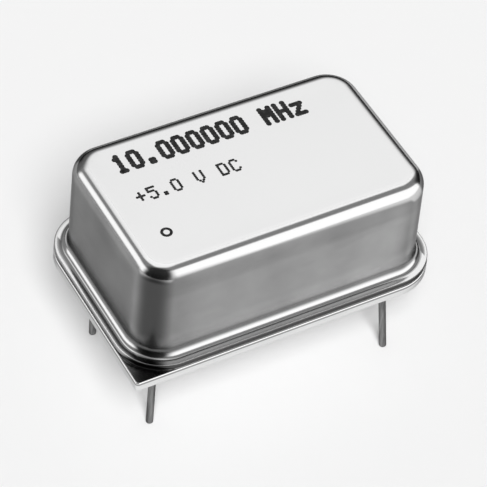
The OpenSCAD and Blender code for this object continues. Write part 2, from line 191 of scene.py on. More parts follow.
def turned(bm, section, centre, steps=ROUND_STEPS):
    """Turns a section of (radius, height) points about an upright axis through the centre."""
    edges = chain(bm, [centre + Vector((p[0], 0, p[1])) for p in section])
    verts = {v for e in edges for v in e.verts}
    bmesh.ops.spin(
        bm, geom=[*verts, *edges], cent=centre, axis=(0, 0, 1), angle=math.tau, steps=steps,
        use_merge=True)
    bmesh.ops.remove_doubles(bm, verts=bm.verts, dist=MERGE)


def finished(name, bm, slot, *replaced):
    """Makes the piece's object. It rides on the one body and stands for the nodes given."""
    bmesh.ops.recalc_face_normals(bm, faces=bm.faces)
    for face in bm.faces:
        face.smooth = True
    for edge in bm.edges:
        edge.smooth = edge.calc_face_angle(0) < SMOOTH_BELOW
    mesh = bpy.data.meshes.new(name)
    bm.to_mesh(mesh)
    bm.free()
    piece = bpy.data.objects.new(name, mesh)
    bpy.context.scene.collection.objects.link(piece)
    weighted = piece.modifiers.new("even_normals", "WEIGHTED_NORMAL")
    weighted.keep_sharp = True
    mesh.materials.append(finishes[slot])
    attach(piece, "root")
    if replaced:
        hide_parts(*replaced)
    return piece


# ---------------------------------------------------------------------------------------------
# Shader tools
# ---------------------------------------------------------------------------------------------

class Socket:
    """A node's output, with arithmetic that adds Math nodes."""

    def __init__(self, nodes, output):
        self.nodes = nodes
        self.output = output

    def math(self, operation, *values):
        return self.nodes.add(
            "ShaderNodeMath", {"operation": operation}, dict(enumerate(values)))[0]

    def __add__(self, other):
        return self.math("ADD", self, other)

    def __sub__(self, other):
        return self.math("SUBTRACT", self, other)

    def __rsub__(self, other):
        return self.math("SUBTRACT", other, self)

    def __mul__(self, other):
        return self.math("MULTIPLY", self, other)

    def __truediv__(self, other):
        return self.math("DIVIDE", self, other)

    __radd__ = __add__
    __rmul__ = __mul__

    def __abs__(self):
        return self.math("ABSOLUTE", self)

    def rise(self, low, high):
        """0 below low, 1 above high and a smooth rise between."""
        return self.nodes.add(
            "ShaderNodeMapRange", {"interpolation_type": "SMOOTHSTEP"},
            {"Value": self, "From Min": low, "From Max": high})[0]

    def fall(self, low, high):
        """1 below low, 0 above high and a smooth fall between."""
        return 1 - self.rise(low, high)

    def band(self, start, full, fade, end):
        """1 from full to fade, with a smooth rise from start and a smooth fall to end."""
        return self.rise(start, full) * self.fall(fade, end)

    def dot(self, vector):
        return self.nodes.add(
            "ShaderNodeVectorMath", {"operation": "DOT_PRODUCT"}, {0: self, 1: vector})["Value"]

    def split(self):
        xyz = self.nodes.add("ShaderNodeSeparateXYZ", inputs={0: self})
        return xyz["X"], xyz["Y"], xyz["Z"]

    def scaled(self, factors):
        return self.nodes.add(
            "ShaderNodeMapping", inputs={"Vector": self, "Scale": factors})[0]

    def noise(self, scale, detail=3, roughness=0.5):
        return self.nodes.add(
            "ShaderNodeTexNoise", inputs={
                "Vector": self, "Scale": scale, "Detail": detail, "Roughness": roughness})[0]


class Nodes:
    """A node tree. add() makes one node, and its result gives the node's outputs."""

    def __init__(self, owner):
        owner.use_nodes = True
        self.tree = owner.node_tree
        self.tree.nodes.clear()

    def add(self, kind, settings=None, inputs=None):
        node = self.tree.nodes.new(kind)
        for name, value in (settings or {}).items():
            setattr(node, name, value)
        for key, value in (inputs or {}).items():
            if isinstance(value, Socket):
                self.tree.links.new(value.output, node.inputs[key])
            else:
                node.inputs[key].default_value = value
        return Outputs(self, node)

    def place(self):
        return self.add("ShaderNodeTexCoord")["Object"]

    def mix(self, factor, first, second):
        made = self.add(
            "ShaderNodeMix", {"data_type": "RGBA"},
            {0: factor, 6: first, 7: second})
        return made[2]

    def bump(self, height, distance, under=None):
        """Relief of a height map, laid over the relief under it where that is given."""
        inputs = {"Height": height, "Distance": distance, "Strength": 1.0}
        if under:
            inputs["Normal"] = under
        return self.add("ShaderNodeBump", inputs=inputs)[0]

    def shader(self, **inputs):
        named = {key.replace("_", " "): value for key, value in inputs.items()}
        return self.add("ShaderNodeBsdfPrincipled", inputs=named)[0]

    def output(self, shader):
        self.add("ShaderNodeOutputMaterial", inputs={"Surface": shader})

    def surface(self, **inputs):
        self.output(self.shader(**inputs))


class Outputs:
    def __init__(self, nodes, node):
        self.nodes = nodes
        self.node = node

    def __getitem__(self, key):
        return Socket(self.nodes, self.node.outputs[key])


def grey(value):
    return (value, value, value, 1)


def darker(colour, share):
    return tuple(c * share for c in colour[:3]) + (1,)


def blend(first, second, share):
    """The first value where share is 0, and the second where it is 1."""
    return first + (second - first) * share


# ---------------------------------------------------------------------------------------------
# Finishes, one function for each of the record's material slots
# ---------------------------------------------------------------------------------------------

# Tones of the nickel, from 0 for black to 1 for white. The side, end, rim and corner tones are
# painted shade.
BRIGHT = 0.66
SATIN = 0.645
SHADED_SIDE_TONE = 0.361
SHADED_END_TONE = 0.315
RIM_SHADE_TONE = 0.1
RIM_END_SHADE_TONE = 0.4
CORNER_SHADE_TONE = 0.08
CORNER_TOP_SHADE_TONE = 0.02
HEADER_TONE = 0.86

# How much of the light a rounded surface and a flat one keep where they are seen at a low angle
ROUNDED_KEEPS = 0.35
FLAT_KEEPS = 1.0


class PaintedShading:
    """A painted shade or light on the can, with its strength and its places in millimetres. Two
    places are where it begins and where it is full. Four are a band: its start, the two ends of its
    full stretch, and its end."""

    def __init__(self, strength, *places):
        self.strength = strength
        self.places = places

    def over(self, measure):
        """The mark where the measure is past the two places, or in the band."""
        shape = measure.band if len(self.places) == 4 else measure.rise
        return shape(*self.places) * self.strength

    def under(self, measure):
        """The mark where the measure is short of the two places."""
        return measure.fall(*self.places) * self.strength


# Painted shade and light by their place along the can, from its middle
LEFT_SHADE = PaintedShading(0.25, -8.2, -4.8)
RIGHT_LIGHT = PaintedShading(0.11, 3.5, 5.5)
RIGHT_SHADE = PaintedShading(0.24, 6.6, 7.6)
RIGHT_END_LIGHT = PaintedShading(0.35, 7.6, 8.1)

# Painted shade, and the places of other changes, by their height from the can's top, so below 0
UPPER_SHADE = PaintedShading(0.12, -2.2, -1.7)
FAR_EDGE_SHADE = PaintedShading(0.5, -0.75, -0.55)
OTHER_CORNER_SHADE = PaintedShading(0.68, -1.0, -0.75)
TOP_FLAT = (-0.03, -0.014)
SHINE_END = (-0.74, -0.50)
CORNER_SHADE_CHANGE = (-1.0, -0.7)

# Painted light, and the places of painted shade and other changes, by their height over the flange's
# top
FOOT_LIGHT = PaintedShading(0.13, 0.6, 0.85, 1.3, 1.9)
CORNER_FOOT_LIGHT = PaintedShading(0.12, 0.25, 0.6, 0.6, 1.6)
DULL_START = (0.16, 0.30)
FOOT_SHADE_START = (0.22, 0.38)
FOOT_SHADE_END = (0.44, 0.75)
HEEL_TOP = (0.2, 0.4)
PRESSED_FLAT = (-0.02, -0.012, 0.003, 0.008)
ROOT_SHADE_LINE = (0.003, 0.012, 0.03, 0.05)
RIM_SHADE_START = (-0.035, -0.015)

# Strengths of the painted shades that need more than one place, and of the clouds and scuffs, which
# vary at random
FOOT_SHADE = 0.35
ROOT_SHADE = 0.45
ROOT_END_SHADE = 0.78
HEEL_SHADE = 0.7
CLOUD_SHARE = 0.6
SCUFF_SHADE = 0.08

# On the two ends the foot's painted shade reaches this much higher, and the root's painted dark line
# lies this much lower
FOOT_SHADE_RISE = 0.25
ROOT_FALL = 0.01

# The line where the shine stops and the walls' painted shade begins: its fall along the can, and how
# far it drops at the corners
SHINE_SLOPE = 0.02
SHINE_DROP = 0.25

# How far in from the can's foot the painted shade at the heel of the near left corner begins and is
# full
HEEL_REACH = (1.3, 0.5)

# The header's marks: a dark line round its side by its height over the underside, and the painted
# shade on the rim's flat and on the weld bead by their height from the rim's top. Then the share of
# the tone that each takes away.
SIDE_DARK_LINE = (0.43, 0.47, 0.55, 0.59)
RIM_FLAT = (-0.012, -0.004)
BEAD_START = (0.01, 0.03)
SIDE_LINE_DARKENING = 0.6
RIM_FLAT_SHADE = 0.3
BEAD_SHADE = 0.8

# Noise for the nickel: its scale, detail and roughness
CLOUDS = (240, 3, 0.6)
SCUFFS = (900, 3, 0.6)
DRAWN_LINES = (2600, 1, 0.5)
WAVES = (120, 1, 0.4)
HEADER_CLOUDS = (300, 3, 0.6)
HEADER_DULLING = (500, 2, 0.5)

# Roughness of the shiny nickel, what the dull wall adds, and how much the clouds change it
SHINY_ROUGHNESS = 0.15
DULL_ROUGHNESS = 0.11
CLOUD_ROUGHNESS = 0.06


def nickel(nodes, tone, dull, satin):
    """Nickel plate on sheet. dull is 1 where the drawn wall has lost its shine, and satin is 1 on
    the flat of the top and on the flange's flat, which keep their tone where they are seen at a
    low angle. Elsewhere the plate darkens there."""
    place = nodes.place()
    lines = place.scaled((1, 1, 0.035)).noise(*DRAWN_LINES)
    rough = SHINY_ROUGHNESS + dull * DULL_ROUGHNESS
    rough = rough + (place.noise(*CLOUDS) - 0.5) * CLOUD_ROUGHNESS
    wave = nodes.bump(place.noise(*WAVES), 0.02 * MM)
    relief = nodes.bump(lines, 0.0012 * MM, wave)
    rounded, flat = (
        nodes.shader(
            Base_Color=nodes.mix(tone, grey(0), grey(1)), Metallic=1 - satin * 0.2,
            Roughness=rough, Normal=relief, Specular_Tint=grey(keeps))
        for keeps in (ROUNDED_KEEPS, FLAT_KEEPS))
    nodes.output(nodes.add("ShaderNodeMixShader", inputs={0: satin, 1: rounded, 2: flat})[0])


class CanPlace:
    """Where a point lies on the can, in millimetres, and which way its surface faces. corner is
    above 0 on the near left and far right corners, below 0 on the other two, and 0 elsewhere."""

    def __init__(self, nodes):
        self.place = nodes.place()
        self.run, self.depth, height = (part / MM for part in self.place.split())
        self.from_top = height - can_top / MM
        self.over_foot = height - (flange_z + SHEET) / MM
        self.across, self.along, _ = nodes.add("ShaderNodeNewGeometry")["Normal"].split()
        self.corner = self.across * self.along
        self.on_end = abs(self.across).rise(0.75, 0.98)
        half = can_half.x / MM
        self.past_end = abs(self.run).rise(half + 0.05, half + 0.15)

    def painted_heel_shade(self):
        """1 low on the near left corner, where a painted shade lies."""
        start, full = (can_half / MM - Vector((reach, reach)) for reach in HEEL_REACH)
        left = (0 - self.run).rise(start.x, full.x)
        near = (0 - self.depth).rise(start.y, full.y)
        return left * near * self.over_foot.fall(*HEEL_TOP)


def shaded_wall_tone(at):
    """The drawn walls' dull tone, darker than the top by painted shade. Painted shade makes the two
    ends darker than the long sides, the long sides darker to the left and uneven to the right, and a
    band under the top darker. Over the foot lie a band of painted shade and one of painted light.
    Random clouds and scuffs vary it."""
    cloud = at.place.noise(*CLOUDS)
    scuffs = at.place.scaled((0.3, 0.3, 1)).noise(*SCUFFS)
    on_side = 1 - at.on_end
    # Painted light and shade along the right part of the long sides
    right = RIGHT_LIGHT.over(at.run) - RIGHT_SHADE.over(at.run) + RIGHT_END_LIGHT.over(at.run)
    shaded = at.over_foot - at.on_end * FOOT_SHADE_RISE
    foot_shade = at.over_foot.rise(*FOOT_SHADE_START) * shaded.fall(*FOOT_SHADE_END)
    # The walls' tone is painted shade: darker than the top, and darker still on the two ends
    tone = blend(SHADED_SIDE_TONE, SHADED_END_TONE, at.on_end)
    tone = tone * (1 - (LEFT_SHADE.under(at.run) - right) * on_side + (cloud - 0.5) * CLOUD_SHARE)
    tone = tone * (1 - scuffs.rise(0.45, 0.75) * SCUFF_SHADE)
    # Painted shade in a band under the top
    tone = tone * (1 - UPPER_SHADE.over(at.from_top) * on_side)
    # Painted shade low on the walls, and painted light over it
    tone = tone * (1 - foot_shade * FOOT_SHADE)
    return tone * (1 + FOOT_LIGHT.over(at.over_foot))


def painted_corner_shades(at, tone):
    """Paints shade on the near left and far right corners all the way down, and on the other two only
    at their tops, on the side that faces right or away."""
    # Painted corner shade, darkest at the top and a little lighter at the foot
    dark = blend(CORNER_TOP_SHADE_TONE, CORNER_SHADE_TONE, at.from_top.fall(*CORNER_SHADE_CHANGE))
    dark = dark + CORNER_FOOT_LIGHT.over(at.over_foot)
    tone = blend(tone, dark, at.corner.rise(0.15, 0.5))
    # Painted shade at the tops of the other two corners
    other = (0 - at.corner).rise(0.06, 0.14) * (at.across + at.along).rise(-0.25, -0.05)
    return tone * (1 - other * OTHER_CORNER_SHADE.over(at.from_top))


def can_finish(nodes):
    """Bright along the edge round the top, at the foot and on the flange's flat, and dull on the
    drawn walls between, which painted shade makes darker. Painted shade also lies on the far side of
    the top's edge, on a line at the foot's root, on the flange's rim and on the corners. The line
    where the shine stops runs down a little towards the can's right end, and lower at the corners."""
    at = CanPlace(nodes)
    shine = at.from_top + at.run * SHINE_SLOPE + abs(at.corner).rise(0.1, 0.3) * SHINE_DROP
    dull = shine.fall(*SHINE_END) * at.over_foot.rise(*DULL_START)
    top = at.from_top.rise(*TOP_FLAT)
    # Painted shade on the far side of the edge round the top
    far_side = at.along.rise(0.03, 0.2)
    tone = blend(BRIGHT, SATIN, top) * (1 - far_side * FAR_EDGE_SHADE.over(at.from_top))
    # Where dull, the roughness rises and the walls take their tone with its painted shade
    tone = blend(tone, shaded_wall_tone(at), dull)
    # A painted dark line in the crease where the foot meets the flange
    root = (at.over_foot + at.past_end * ROOT_FALL).band(*ROOT_SHADE_LINE)
    tone = tone * (1 - root * blend(ROOT_SHADE, ROOT_END_SHADE, at.past_end))
    # Painted shade on the flange's rounded rim
    rim = at.over_foot.fall(*RIM_SHADE_START)
    tone = blend(tone, blend(RIM_SHADE_TONE, RIM_END_SHADE_TONE, at.past_end), rim)
    # Painted shade at the foot of the near left corner, after the corners' painted shade
    painted_heel_shade = at.painted_heel_shade()
    tone = painted_corner_shades(at, tone) * (1 - painted_heel_shade * HEEL_SHADE)
    pressed = at.over_foot.band(*PRESSED_FLAT) * (1 - root) * (1 - painted_heel_shade)
    nickel(nodes, tone, dull, top + pressed)


def header_finish(nodes):
    """Bright stamped plate, with a dark line round its side, and painted shade on its top and on the
    bead.
    """
    place = nodes.place()
    height = place.split()[2] / MM
    over_rim = height - RIM_T / MM
    # A dark line round the side of the plate
    side_line = height.band(*SIDE_DARK_LINE) * SIDE_LINE_DARKENING
    # Painted shade on the rim's top, and more on the weld bead under the flange
    flat = over_rim.rise(*RIM_FLAT) * RIM_FLAT_SHADE
    bead = over_rim.rise(*BEAD_START) * BEAD_SHADE
    tone = HEADER_TONE * (1 - side_line) * (1 - flat) * (1 - bead)
    tone = tone + (place.noise(*HEADER_CLOUDS) - 0.5) * 0.1
    nickel(nodes, tone, place.noise(*HEADER_DULLING) * 0.3, 0.0)


def pin_finish(nodes):
    """Dull tinned wire with long scratches."""
    place = nodes.place()
    streak = place.scaled((1, 1, 0.06)).noise(3600, 2, 0.6)
    cloud = place.noise(900, 3, 0.6)
    nodes.surface(
        Base_Color=nodes.mix(streak.rise(0.35, 0.7), grey(0.14), grey(0.32)), Metallic=1.0,
        Roughness=0.24 + cloud * 0.2, Specular_Tint=grey(ROUNDED_KEEPS),
        Normal=nodes.bump(streak, 0.004 * MM))


def plain_metal(colour, rough, grain):
    """A maker for small metal pieces: a tone that drifts, and a fine grain."""
    def finish(nodes):
        place = nodes.place()
        drift = place.noise(700, 3, 0.6)
        nodes.surface(
            Base_Color=nodes.mix(drift.rise(0.35, 0.7), darker(colour, 0.78), colour), Metallic=1.0,
            Roughness=rough + (drift - 0.5) * 0.15,
            Normal=nodes.bump(place.noise(grain, 2), 0.002 * MM))
    return finish


def plain_solid(colour, rough, grain, depth):
    """A maker for small moulded, fired or foamed pieces. depth is that of the relief, in
    millimetres."""
    def finish(nodes):
        place = nodes.place()
        speck = place.noise(grain, 4, 0.65)
        nodes.surface(
            Base_Color=nodes.mix(speck.rise(0.35, 0.65), darker(colour, 0.7), colour),
            Roughness=rough + (speck - 0.5) * 0.2, Normal=nodes.bump(speck, depth * MM))
    return finish


def seal_glass_finish(nodes):
    """Dark fused glass with small bubbles under a clear skin."""
    place = nodes.place()
    bubble = nodes.add("ShaderNodeTexVoronoi", inputs={"Vector": place, "Scale": 5500.0})["Distance"]
    cloud = place.noise(1500, 3)
    tone = nodes.mix(cloud.rise(0.4, 0.7), (0.016, 0.030, 0.026, 1), (0.050, 0.075, 0.062, 1))
    nodes.surface(
        Base_Color=nodes.mix(bubble.fall(0.05, 0.18), tone, (0.12, 0.16, 0.14, 1)),
        Roughness=0.08 + cloud * 0.08, Normal=nodes.bump(cloud, 0.01 * MM), Coat_Weight=1.0,
        Coat_Roughness=0.05)


def ink_finish(nodes):
    """Dark printed ink, thin and a little broken at its edges."""
    place = nodes.place()
    worn = place.noise(3800, 4, 0.65)
    nodes.surface(
        Base_Color=nodes.mix(worn.rise(0.42, 0.72), grey(0.012), grey(0.045)),
        Roughness=0.5 + worn * 0.25, Specular_IOR_Level=0.2, Normal=nodes.bump(worn, 0.002 * MM))


FINISHES = {
    "nickel_can": can_finish,
    "nickel_header": header_finish,
    "pin_plating": pin_finish,
    "seal_glass": seal_glass_finish,
    "braze": plain_metal((0.56, 0.50, 0.36, 1), 0.34, 5000),
    "polyimide": plain_solid((0.55, 0.27, 0.04, 1), 0.25, 900, 0.002),
    "board_laminate": plain_solid((0.016, 0.10, 0.035, 1), 0.35, 2600, 0.006),
    "solder": plain_metal((0.62, 0.62, 0.60, 1), 0.22, 2500),
    "chip_moulding": plain_solid((0.022, 0.022, 0.023, 1), 0.6, 6000, 0.004),
    "chip_ceramic": plain_solid((0.42, 0.30, 0.17, 1), 0.5, 4000, 0.003),
    "resistor_chip": plain_solid((0.02, 0.02, 0.022, 1), 0.35, 4000, 0.003),
    "tinned_wire": plain_metal((0.55, 0.54, 0.50, 1), 0.3, 4500),
    "oven_ceramic": plain_solid((0.80, 0.78, 0.74, 1), 0.55, 5000, 0.003),
    "copper": plain_metal((0.72, 0.34, 0.18, 1), 0.32, 3500),
    "sensor_ceramic": plain_solid((0.06, 0.045, 0.035, 1), 0.5, 4500, 0.003),
    "holder_nickel": plain_metal((0.58, 0.57, 0.55, 1), 0.22, 4000),
    "quartz": plain_solid((0.70, 0.76, 0.78, 1), 0.08, 800, 0.0),
    "foam": plain_solid((0.62, 0.54, 0.36, 1), 0.9, 2200, 0.05),
    "ink": ink_finish,
}


def made_finish(name):
    material = bpy.data.materials.new(name)
    FINISHES[name](Nodes(material))
    return material


finishes = {name: made_finish(name) for name in FINISHES}
slot_of = {s["node"]: s["material_slot"] for s in frame["record"]["subparts"]}
for node, cad_object in frame["nodes"].items():
    for material_slot in cad_object.material_slots:
        material_slot.material = finishes[slot_of[node]]


# ---------------------------------------------------------------------------------------------
# Pieces
# ---------------------------------------------------------------------------------------------

# How far the drawn sheet is off true: the top's dish, the walls' bow, and the flange's fall at
# its edge in degrees. A high power keeps the dish's slope near the top's edge.
TOP_DISH = 0.012 * MM
DISH_POWER = 8
WALL_BOW = 0.035 * MM
FLANGE_FALL = 8
FALL_STEPS = 6
LID_PARTS = (48, 30)

# How far in the header's rim is swept before its flats are filled
RIM_INSET = 0.15 * MM
PEDESTAL_ROUND = 0.08 * MM

# The pins' tips, and the bend of pin 7. The last is how far out on the leaning tip its lowest
# point lies, as a share of the pin's radius.
PIN_TIP_R = 0.09 * MM
PIN_7_STRAIGHT = 0.9 * MM
PIN_7_BEND_R = 3.0 * MM
PIN_7_LEAN = math.radians(8)
PIN_7_TOWARDS = math.radians(-62)
BEND_STEPS = 6
TIP_STEPS = 5
LOWEST_SHARE = 0.8

# The glass beads: their hollow's depth, and the steps of the hollow and of the climb at the pin
BEAD_HOLLOW = 0.06 * MM
HOLLOW_STEPS = 8
CLIMB_STEPS = 4


def can_section():
    """The drawn sheet from the top's edge over the outside, round the flange and up the inside.
    Its x is measured outwards from the wall at the foot."""
    foot = flange_z + SHEET
    rise = can_top - foot
    tilt = math.atan(LEAN / rise)
    degrees = math.degrees(tilt)
    slope = math.tan(tilt)
    top_c = (-slope * (rise - TOP_R) - TOP_R / math.cos(tilt), can_top - TOP_R)
    foot_c = (-slope * FOOT_R + FOOT_R / math.cos(tilt), foot + FOOT_R)
    outside = (
        arc(top_c, TOP_R, 90, degrees, ARC_STEPS)
        + arc(foot_c, FOOT_R, 180 + degrees, 270, ARC_STEPS))
    start, fall = outside[-1], math.radians(FLANGE_FALL)
    bow_r = (FLANGE_W - EDGE_R - start.x) / math.sin(fall) + EDGE_R
    bow_c = start - Vector((0, bow_r))
    rim_c = bow_c + Vector((math.sin(fall), math.cos(fall))) * (bow_r - EDGE_R)
    rim = (
        arc(bow_c, bow_r, 90, 90 - FLANGE_FALL, FALL_STEPS)[1:]
        + arc(rim_c, EDGE_R, 90 - FLANGE_FALL, 0, EDGE_STEPS)[1:]
        + arc((FLANGE_W - EDGE_R, flange_z + EDGE_R), EDGE_R, 0, -90, EDGE_STEPS))
    inside = (
        arc(foot_c, FOOT_R + SHEET, 270, 180 + degrees, ARC_STEPS)
        + arc(top_c, TOP_R - SHEET, degrees, 90, ARC_STEPS))
    return outside, rim, inside


def can_piece():
    outside, rim, inside = can_section()
    wall_top, wall_foot = outside[ARC_STEPS], outside[ARC_STEPS + 1]
    wall = [wall_top.lerp(wall_foot, i / WALL_STEPS) for i in range(1, WALL_STEPS)]
    section = outside[:ARC_STEPS + 1] + wall + outside[ARC_STEPS + 1:] + rim + inside
    bm = bmesh.new()
    swept(bm, section, can_half, [CORNER_R] * 4, SIDE_STEPS)
    for z in (can_top, can_top - SHEET):
        lid = bmesh.ops.contextual_create(bm, geom=open_loop(bm, z))["faces"]
        if z == can_top:
            cut_lid(bm, lid)
    dish_and_bow(bm)
    return finished("drawn_can", bm, "nickel_can", "cover")


def cut_lid(bm, lid):
    """Cuts the flat of the top into a grid, so that it can take its slight dish."""
    geom = list({g for f in lid for g in (f, *f.edges, *f.verts)})
    for axis, parts in zip((Vector((1, 0, 0)), Vector((0, 1, 0))), LID_PARTS):
        half = axis.dot(can_half.to_3d())
        for i in range(1, parts):
            geom = bmesh.ops.bisect_plane(
                bm, geom=geom, dist=CUT_SLACK, plane_co=axis * half * (2 * i / parts - 1),
                plane_no=axis)["geom"]


def dished(x, y):
    """Height of the top's outside at a place on it."""
    reach = can_half - Vector((TOP_R + LEAN, TOP_R + LEAN))
    u = min(1, abs(x) / reach.x)
    v = min(1, abs(y) / reach.y)
    return can_top - TOP_DISH * (1 - u ** DISH_POWER) * (1 - v ** DISH_POWER)


def dish_and_bow(bm):
    """Sinks the top a little in its middle, and draws the middle of each wall in."""
    low, high = flange_z + SHEET + FOOT_R, can_top - TOP_R
    straight = can_half - Vector((CORNER_R, CORNER_R))
    for vert in bm.verts:
        co = vert.co
        if co.z > can_top - MERGE:
            co.z = dished(co.x, co.y)
        elif low < co.z < high:
            bow = math.sin(math.pi * (co.z - low) / (high - low)) * WALL_BOW
            if abs(co.x) < straight.x:
                co.y -= math.copysign(bow * (1 - (co.x / straight.x) ** 2), co.y)
            if abs(co.y) < straight.y:
                co.x -= math.copysign(bow * (1 - (co.y / straight.y) ** 2), co.x)


def pin_place(number):
    """Where a pin's axis meets the header's underside."""
    sx, sy = PINS[number]
    return Vector((sx * GRID.x, sy * GRID.y, 0))


def header_piece():
    """The rim with its sharp corner, the weld bead on it, and the pedestal, bored for the pins."""
    bm = bmesh.new()
    rim = (
        [Vector((-RIM_INSET, 0))] + arc((-EDGE_R, EDGE_R), EDGE_R, -90, 0, EDGE_STEPS)
        + arc((-EDGE_R, RIM_T - EDGE_R), EDGE_R, 0, 90, EDGE_STEPS)
        + [Vector((-RIM_INSET, RIM_T))])
    swept(bm, rim, rim_half, [RIM_R, RIM_R, RIM_R, MARK_R])
    wall = -(SHEET + PEDESTAL_SPACE)
    bead_and_pedestal = [
        Vector((BEAD_OUT, RIM_T)), Vector((BEAD_OUT, RIM_T + BEAD_H)),
        Vector((BEAD_IN, RIM_T + BEAD_H)), Vector((BEAD_IN, RIM_T)), Vector((wall, RIM_T)),
        *arc(
            (wall - PEDESTAL_ROUND, pedestal_top - PEDESTAL_ROUND), PEDESTAL_ROUND, 0, 90,
            EDGE_STEPS)]
    swept(bm, bead_and_pedestal, can_half, [CORNER_R] * 4)
    fill(bm, open_loop(bm, RIM_T))
    for number in PINS:
        radius = WIRE_R + BRAZE_W if number == 7 else GLASS_R
        below = ring(bm, radius, pin_place(number))
        above = ring(bm, radius, pin_place(number) + Vector((0, 0, pedestal_top)))
        bmesh.ops.bridge_loops(bm, edges=below + above)
    fill(bm, open_loop(bm, 0))
    fill(bm, open_loop(bm, pedestal_top))
    return finished("header_plate", bm, "nickel_header", "header")


def pin_shank(bm, place, low, high, tip):
    """A round pin, bare in the header and plated below it. Its tip is rounded by the given
    radius, or left open where that is 0."""
    top = [(0, high), (WIRE_R, high), (WIRE_R, RECESS), (PIN_R, RECESS)]
    if tip:
        end = [(p.x, p.y) for p in arc((PIN_R - tip, low + tip), tip, 0, -90, TIP_STEPS)] + [(0, low)]
    else:
        end = [(PIN_R, low)]
    turned(bm, top + end, place, PIN_STEPS)


def straight_pin(number):
    low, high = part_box(f"pin_{number}")
    bm = bmesh.new()
    pin_shank(bm, pin_place(number), low.z, high.z, PIN_TIP_R)
    return finished(f"wire_pin_{number}", bm, "pin_plating", f"pin_{number}")


def rounded_tip(bm, edges, down):
    """Closes the open end of a pin with a rounded tip that points down its axis."""
    step = math.radians(90 / TIP_STEPS)
    for i in range(1, TIP_STEPS + 1):
        reach = PIN_TIP_R * (math.sin(step * i) - math.sin(step * (i - 1)))
        radius = PIN_R - PIN_TIP_R * (1 - math.cos(step * i))
        edges = extruded(bm, edges, down * reach)
        verts = list({v for e in edges for v in e.verts})
        middle = sum((v.co for v in verts), Vector()) / len(verts)
        for vert in verts:
            vert.co = middle + (vert.co - middle).normalized() * radius
    bmesh.ops.contextual_create(bm, geom=edges)


def bent_pin():
    """Pin 7: straight for a short way, then an easy bend and a straight end. Its lowest point is
    the CAD pin's, which the lower side of the leaning tip reaches."""
    low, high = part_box("pin_7")
    place = pin_place(7)
    bm = bmesh.new()
    pin_shank(bm, place, -PIN_7_STRAIGHT, high.z, 0)
    way = Vector((math.cos(PIN_7_TOWARDS), math.sin(PIN_7_TOWARDS), 0))
    centre = place + way * PIN_7_BEND_R + Vector((0, 0, -PIN_7_STRAIGHT))
    axis = Vector((-way.y, way.x, 0))
    edges = spun(bm, open_loop(bm, -PIN_7_STRAIGHT), centre, -PIN_7_LEAN, BEND_STEPS, axis)
    sine, cosine = math.sin(PIN_7_LEAN), math.cos(PIN_7_LEAN)
    lower_side = PIN_R * sine * LOWEST_SHARE
    drop = -low.z - PIN_7_STRAIGHT - PIN_7_BEND_R * sine - lower_side
    down = way * sine - Vector((0, 0, cosine))
    edges = extruded(bm, edges, down * (drop / cosine - PIN_TIP_R))
    rounded_tip(bm, edges, down)
    return finished("wire_pin_7", bm, "pin_plating", "pin_7")


def glass_bead(number):
    """Fused glass round a pin. Its underside is hollowed between pin and header, and its top
    climbs the pin."""
    low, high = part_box(f"glass_seal_{number}")
    below = []
    for i in range(HOLLOW_STEPS + 1):
        t = i / HOLLOW_STEPS
        below.append((blend(WIRE_R, GLASS_R, t), low.z + BEAD_HOLLOW * 4 * t * (1 - t)))
    climb = high.z - pedestal_top
    above = []
    for i in range(CLIMB_STEPS + 1):
        t = i / CLIMB_STEPS
        above.append((WIRE_R + climb * (1 - t), pedestal_top + climb * t ** 2))
    bm = bmesh.new()
    section = below + [(GLASS_R, pedestal_top)] + above
    turned(bm, section + [section[0]], pin_place(number))
    return finished(f"glass_bead_{number}", bm, "seal_glass", f"glass_seal_{number}")


can_piece()
header_piece()
for pin_number in (1, 8, 14):
    straight_pin(pin_number)
    glass_bead(pin_number)
bent_pin()


# ---------------------------------------------------------------------------------------------
# Printed marks: two rows of dots in the shape of plain figures, and a ring beside pin 1
# ---------------------------------------------------------------------------------------------

# Rows of a figure, and columns from one figure to the next
GLYPH_ROWS = 7
GLYPH_PITCH = 7
GLYPHS = {
    "0": ("01110", "10001", "10001", "10001", "10001", "10001", "01110"),
    "1": ("00100", "01100", "00100", "00100", "00100", "00100", "01110"),
    "5": ("11111", "10000", "11110", "00001", "00001", "10001", "01110"),
    ".": ("00000", "00000", "00000", "00000", "00000", "01100", "01100"),
    "M": ("10001", "11011", "10101", "10101", "10001", "10001", "10001"),
    "H": ("10001", "10001", "10001", "11111", "10001", "10001", "10001"),
    "z": ("00000", "00000", "11111", "00010", "00100", "01000", "11111"),
    "V": ("10001", "10001", "10001", "10001", "10001", "01010", "00100"),
    "D": ("11110", "10001", "10001", "10001", "10001", "10001", "11110"),
    "C": ("01110", "10001", "10000", "10000", "10000", "10001", "01110"),
    "+": ("00000", "00100", "00100", "11111", "00100", "00100", "00000"),
    " ": ("00000",) * GLYPH_ROWS,
}

# The ink's thickness, its lift off the metal, and the step between its layers
INK = 0.004 * MM
INK_LIFT = 0.001 * MM
INK_STEP = 0.0004 * MM
INK_LAYERS = 5
DOT_STEPS = 10
RING_STEPS = 40


def dot(bm, x, y, radius, layer):
    """One low round dot of ink on the top."""
    z = dished(x, y) + INK_LIFT + layer * INK_STEP
    made = bmesh.ops.create_circle(
        bm, segments=DOT_STEPS, radius=radius, cap_ends=True, matrix=Matrix.Translation((x, y, z)))
    face = made["verts"][0].link_faces[0]
    lifted = bmesh.ops.extrude_face_region(bm, geom=[face])["geom"]
    verts = [g for g in lifted if isinstance(g, bmesh.types.BMVert)]
    bmesh.ops.translate(bm, verts=verts, vec=(0, 0, INK))


